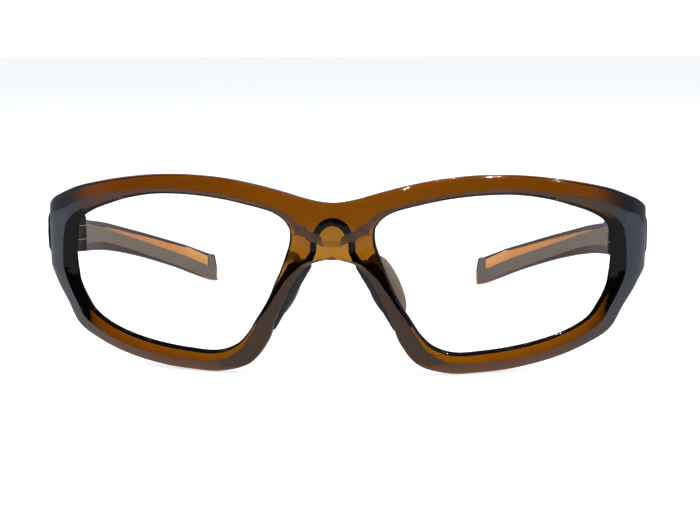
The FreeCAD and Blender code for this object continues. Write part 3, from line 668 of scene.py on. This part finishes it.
FOLDS = {1: FOLD_LEFT, -1: FOLD_RIGHT}
PIN = np.array(FOLD_LEFT["pos_m"][:2]) / MM


def arm_plan(share):
    """Outer side of the arm and the direction across it, towards the wearer."""
    def x_at(s):
        tuck = ROOT_TUCK * max(1 - s / ROOT_SHARE, 0) ** 2
        return HALF_WIDTH - TIP_INSET * max(s - BEND_START, 0) ** BEND_POWER - tuck
    step = 0.01
    slope = (x_at(share + step) - x_at(share - step)) / (2 * step * ARM_LENGTH)
    return x_at(share), unit(np.array([-1.0, slope]))


def arm_point(share, height, inward, slant):
    x, across = arm_plan(share)
    y = JOINT_Y + share * ARM_LENGTH - slant
    return ((x + across[0] * inward) * MM, (y + across[1] * inward) * MM, height * MM)


def arm_ring(row, points):
    """The section's points, (inward, height), set out at its station and slanted near the tip."""
    share, middle, tall = row[:3]
    low = middle - tall / 2
    taper = clamp((share - SLANT_START) / (1 - SLANT_START)) * TIP_SLANT
    return [arm_point(share, z, inward, taper * (z - low) / tall) for inward, z in points]


def at_rest(side, ring):
    """Turns a ring of the left arm to where the arm of that side rests, part folded or not."""
    angle = math.radians(-FOLDS[side]["range_deg"][0])
    placed = []
    for x, y, z in ring:
        across, along = x - PIN[0] * MM, y - PIN[1] * MM
        placed.append((side * (PIN[0] * MM + across * math.cos(angle) - along * math.sin(angle)),
                       PIN[1] * MM + across * math.sin(angle) + along * math.cos(angle), z))
    return placed


def arm_section(row):
    """Outline of the arm, from its outer side over the top and down the inner side."""
    share, middle, tall, thick, crease, bevel = row
    half = tall / 2
    top, low = middle + half, middle - half
    fold = middle + crease * half
    points = [
        (0.00, middle), (0.05, middle + 0.5 * half), (0.35, top - 0.9), (0.75, top - 0.2), (1.1, top),
        (thick - 0.9, top), (thick - 0.55, top - 0.15), (thick - 0.35, top - 0.45),
        (thick, fold), (thick - 0.03, fold - 0.15),
        (thick - 0.25, low + bevel), (thick - 0.3, low + bevel - 0.1),
        (thick - 0.35 - 0.55 * bevel, low + 0.1), (thick - 0.5 - 0.6 * bevel, low),
        (1.1, low), (0.75, low + 0.2), (0.35, low + 0.9), (0.05, middle - 0.5 * half),
    ]
    rounding = ROOT_ROUND * max(1 - share / ROOT_SHARE, 0)
    for index, (inward, z) in enumerate(points):
        if inward < OUTER_CORNER:
            points[index] = (max(inward, rounding * (abs(z - middle) / half) ** 4), z)
    return arm_ring(row, points)


def model_arm(side):
    name = "left" if side > 0 else "right"
    rings = [at_rest(side, arm_section(row)) for row in catmull(ARM_STATIONS, ARM_STEPS, False)]
    piece = capped_skin("temple_moulding_" + name, rings)
    smooth(piece, 24)
    return finish_piece(piece, ARM_NYLON, "temple_" + name, "crystal_nylon", "temple_arm_" + name)


INLAY_RUN = (0.012, 0.992)             # shares of the arm's length
INLAY_ROOT = (0.10, 0.15)              # full height before the first, the lower facet after the second
INLAY_TIP = 0.955                      # full height again after this
INLAY_CREST = 0.93                     # its full height, as a share of the half height
INLAY_GAP = 0.12                       # below the crease
INLAY_DEEP = 0.75


def inlay_section(row):
    """Outline of the inlay, from its upper edge down its face and back inside the arm."""
    share, middle, tall, thick, crease, bevel = row
    half = tall / 2
    root_start, root_end = INLAY_ROOT
    root = clamp((root_end - share) / (root_end - root_start))
    tip = 1.0 if share > INLAY_TIP else 0.0
    upper = crease + (INLAY_CREST - crease) * max(root, tip)
    top = middle + upper * half - INLAY_GAP
    low = middle - half + bevel + 0.1
    face_top = thick - 0.35 * max(upper - crease, 0) / max(INLAY_CREST - crease, 0.01)
    points = [(face_top + 0.04, top), (thick + 0.03, middle + crease * half - INLAY_GAP),
              (thick - 0.2, low), (thick - INLAY_DEEP, low), (thick - INLAY_DEEP, top)]
    return arm_ring(row, points)


def model_grip(side):
    """Taupe inlay on the lower inner facet, full height at the root and at the very tip."""
    name = "left" if side > 0 else "right"
    start, end = INLAY_RUN
    rows = [row for row in catmull(ARM_STATIONS, ARM_STEPS, False) if start <= row[0] <= end]
    piece = capped_skin("temple_inlay_" + name, [at_rest(side, inlay_section(row)) for row in rows])
    smooth(piece, 30)
    return finish_piece(piece, GRIP, "temple_" + name, "grip_rubber", "temple_grip_" + name)


# ------------------------------------------------------------------ nose pieces
RIM_HIGH = (np.array([10.8, 26.0]), np.array([4.6, 25.0]))    # lens side and nose side, at the top
RIM_LOW = (np.array([18.6, 10.0]), np.array([14.4, 8.9]))     # the same at the lower end
STRIP_STEPS = 28
STRIP_EDGES = (0.16, 0.98)             # across the rim, as shares
STRIP_SWELL = 0.22                     # how much narrower the strip is at its ends
STRIP_ROUND = 0.05                     # length of its rounded ends, as a share


def rim_point(share, across, depth):
    """A place on the nasal rim: share of the way down it, across from the lens, and depth."""
    lens, edge = (high * (1 - share) + low * share for high, low in zip(RIM_HIGH, RIM_LOW))
    u, z = lens + (edge - lens) * across
    return wrap(u, z, depth)


def strip_section(share):
    """Outline of the strip, flat on the rim, with the raised rail that holds the pad."""
    swell = 1 - STRIP_SWELL + STRIP_SWELL * math.sin(math.pi * min(share * 1.15, 1))
    end = min(share, 1 - share) / STRIP_ROUND
    cut = 1 - math.sqrt(max(1 - (1 - min(end, 1)) ** 2, 0))
    near = STRIP_EDGES[0] + 0.10 * (1 - swell) + 0.3 * cut
    far = STRIP_EDGES[1] - 0.3 * cut
    section = [
        (near, 4.45), (near, 5.3), (near + 0.05, 5.9), (0.42, 6.6), (0.5, 8.4), (0.58, 8.8),
        (0.78, 8.8), (0.86, 8.4), (far - 0.02, 6.4), (far, 5.6), (far, 4.45),
    ]
    return [rim_point(share, across, depth) for across, depth in section]


def model_carrier(side):
    """Dark strip along the back of the nasal rim, with a rail that holds the pad."""
    name = "left" if side > 0 else "right"
    rings = [strip_section(k / STRIP_STEPS) for k in range(STRIP_STEPS + 1)]
    rings = [[(side * x, y, z) for x, y, z in ring] for ring in rings]
    piece = capped_skin("nose_strip_" + name, rings)
    smooth(piece, 35)
    return finish_piece(piece, CARRIER, "front", "dark_rubber", "nose_pad_carrier_" + name)


PAD_LEAN = math.radians(24.3)          # along the nasal rim
PAD_SPLAY = math.radians(40)           # opening backwards
PAD_HALVES = (1.7, 4.9, 8.3)           # half thickness, half width, half length
PAD_SHIFT = 0.8                        # away from the nose
PAD_BOW = 0.5                          # how far its ends curve outwards


def model_pad(side):
    """Soft oval pad, bowed round the nose."""
    name = "left" if side > 0 else "right"
    bpy.ops.object.select_all(action="DESELECT")
    bpy.ops.mesh.primitive_uv_sphere_add(segments=48, ring_count=28, radius=MM)
    piece = bpy.context.object
    piece.name = "nose_cushion_" + name
    low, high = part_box("nose_pad_" + name)
    middle = (low + high) / 2 + Vector((side * PAD_SHIFT * MM, 0, 0))
    up = Vector((-side * math.sin(PAD_LEAN), 0, math.cos(PAD_LEAN)))
    back = Vector((side * math.sin(PAD_SPLAY), math.cos(PAD_SPLAY), 0))
    back = (back - up * back.dot(up)).normalized()
    out = back.cross(up).normalized()
    if out.x * side < 0:
        out.negate()
    thick, wide, tall = PAD_HALVES
    for vertex in piece.data.vertices:
        a, b, c = vertex.co / MM
        bow = PAD_BOW * c * c
        vertex.co = middle + (out * (thick * a + bow) + back * (wide * b) + up * (tall * c)) * MM
    smooth(piece, 60)
    return finish_piece(piece, PAD, "front", "pad_silicone", "nose_pad_" + name)


# ------------------------------------------------------------------ stage
CAMERA_YAW = math.radians(4.6)
CAMERA_RISE = math.radians(7.73)
CAMERA_ROLL = math.radians(-0.2)
CAMERA_DISTANCE = 0.3739
CAMERA_TARGET = Vector((0.0033, BRIDGE_Y * MM + 0.010, 0.0247))
REFLECTED_FLOOR = 0.35
REFLECTED_ROOM = 0.55
SOFTBOXES = [
    ("softbox_top", (0.0, -0.25, 0.9), 0.7, 7.0, "#FFFFFF"),
    ("softbox_left", (-0.9, 0.12, 0.28), 0.5, 4.0, "#D8E4FF"),
    ("softbox_right", (0.9, 0.12, 0.28), 0.5, 4.0, "#D8E4FF"),
]
BULBS = 8
BULB_POWER = 25
BULB_RADIUS = 0.02


def stand_camera():
    camera_data = bpy.data.cameras.new("camera")
    camera = bpy.data.objects.new("camera", camera_data)
    bpy.context.scene.collection.objects.link(camera)
    camera_data.lens = 85.5
    camera_data.clip_start = 0.01
    ahead = math.cos(CAMERA_RISE)
    back = Vector((math.sin(CAMERA_YAW) * ahead, -math.cos(CAMERA_YAW) * ahead, math.sin(CAMERA_RISE)))
    camera.location = CAMERA_TARGET + back * CAMERA_DISTANCE
    facing = back.to_track_quat("Z", "Y").to_matrix()
    camera.rotation_euler = (facing @ Matrix.Rotation(CAMERA_ROLL, 3, "Z")).to_euler()
    bpy.context.scene.camera = camera


def lay_floor():
    """White table, dimmer in reflections than it is itself."""
    bpy.ops.object.select_all(action="DESELECT")
    bpy.ops.mesh.primitive_plane_add(size=12, location=(0, 0, -0.0002))
    floor = bpy.context.object
    floor.name = "floor"
    material, tree, shader = new_material("white_floor")
    shader.inputs["Base Color"].default_value = hex_linear("#E8E8E8")
    shader.inputs["Roughness"].default_value = 0.9
    shader.inputs["Emission Color"].default_value = hex_linear("#FFFFFF")
    shader.inputs["Emission Strength"].default_value = 0.7
    dim = add_node(tree, "ShaderNodeEmission",
                   inputs={"Color": hex_linear("#FFFFFF"), "Strength": REFLECTED_FLOOR})
    path = add_node(tree, "ShaderNodeLightPath")
    either = add_node(tree, "ShaderNodeMixShader", links={
        0: path.outputs["Is Reflection Ray"], 1: shader.outputs["BSDF"], 2: dim.outputs["Emission"]})
    tree.links.new(either.outputs["Shader"], tree.nodes["Material Output"].inputs["Surface"])
    floor.data.materials.append(material)


def paint_room():
    """White room, darker behind the viewer, and bluish and dimmer in reflections."""
    world = bpy.data.worlds.new("white_room")
    bpy.context.scene.world = world
    world.use_nodes = True
    tree = world.node_tree
    background = tree.nodes["Background"]
    place = add_node(tree, "ShaderNodeTexCoord")
    split = add_node(tree, "ShaderNodeSeparateXYZ", links={"Vector": place.outputs["Generated"]})
    ramp = add_node(tree, "ShaderNodeMapRange", {"interpolation_type": "SMOOTHSTEP"},
                    inputs={"From Min": -0.45, "From Max": 0.3, "To Min": 0.08, "To Max": 1.05},
                    links={"Value": split.outputs["Y"]})
    path = add_node(tree, "ShaderNodeLightPath")
    sheen = add_node(tree, "ShaderNodeMath", {"operation": "MULTIPLY_ADD"},
                     inputs={1: REFLECTED_ROOM - 1, 2: 1.0}, links={0: path.outputs["Is Reflection Ray"]})
    toned = add_node(tree, "ShaderNodeMath", {"operation": "MULTIPLY"},
                     links={0: ramp.outputs["Result"], 1: sheen.outputs["Value"]})
    seen = add_node(tree, "ShaderNodeMath", {"operation": "MAXIMUM"},
                    links={0: toned.outputs["Value"], 1: path.outputs["Is Camera Ray"]})
    tree.links.new(seen.outputs["Value"], background.inputs["Strength"])
    tone = blend(tree, path.outputs["Is Reflection Ray"], "#FFFFFF", "#CFDAEA")
    tree.links.new(tone, background.inputs["Color"])


def hang_lamp(name, kind, spot, power):
    data = bpy.data.lights.new(name, kind)
    data.energy = power
    lamp = bpy.data.objects.new(name, data)
    bpy.context.scene.collection.objects.link(lamp)
    lamp.location = spot
    return data, lamp


def hang_lamps():
    """Soft boxes that light without a glare, and small bulbs that only glint."""
    for name, spot, size, power, colour in SOFTBOXES:
        data, lamp = hang_lamp(name, "AREA", spot, power)
        data.size = size
        data.color = hex_linear(colour)[:3]
        lamp.rotation_euler = Vector(spot).to_track_quat("Z", "Y").to_euler()
        lamp.visible_glossy = False
    for index in range(BULBS):
        spot = (0.25 + 0.16 * index, -1.1 + 0.1 * index, 0.55 + 0.35 * (index % 3))
        data, lamp = hang_lamp(f"bulb_{index}", "POINT", spot, BULB_POWER)
        data.shadow_soft_size = BULB_RADIUS
        lamp.visible_diffuse = False
        lamp.visible_transmission = False


# ------------------------------------------------------------------ assembly
stand_camera()
lay_floor()
paint_room()
hang_lamps()
bpy.context.scene.view_settings.view_transform = "Standard"
model_front()
for side in (1, -1):
    model_lens(side)
    model_arm(side)
    model_grip(side)
    model_carrier(side)
    model_pad(side)

for name, node in frame["nodes"].items():
    finish = CAD_FINISHES.get(name.rsplit("_", 1)[0])
    node.data.materials.clear()
    node.data.materials.append(finish or FRONT_NYLON)
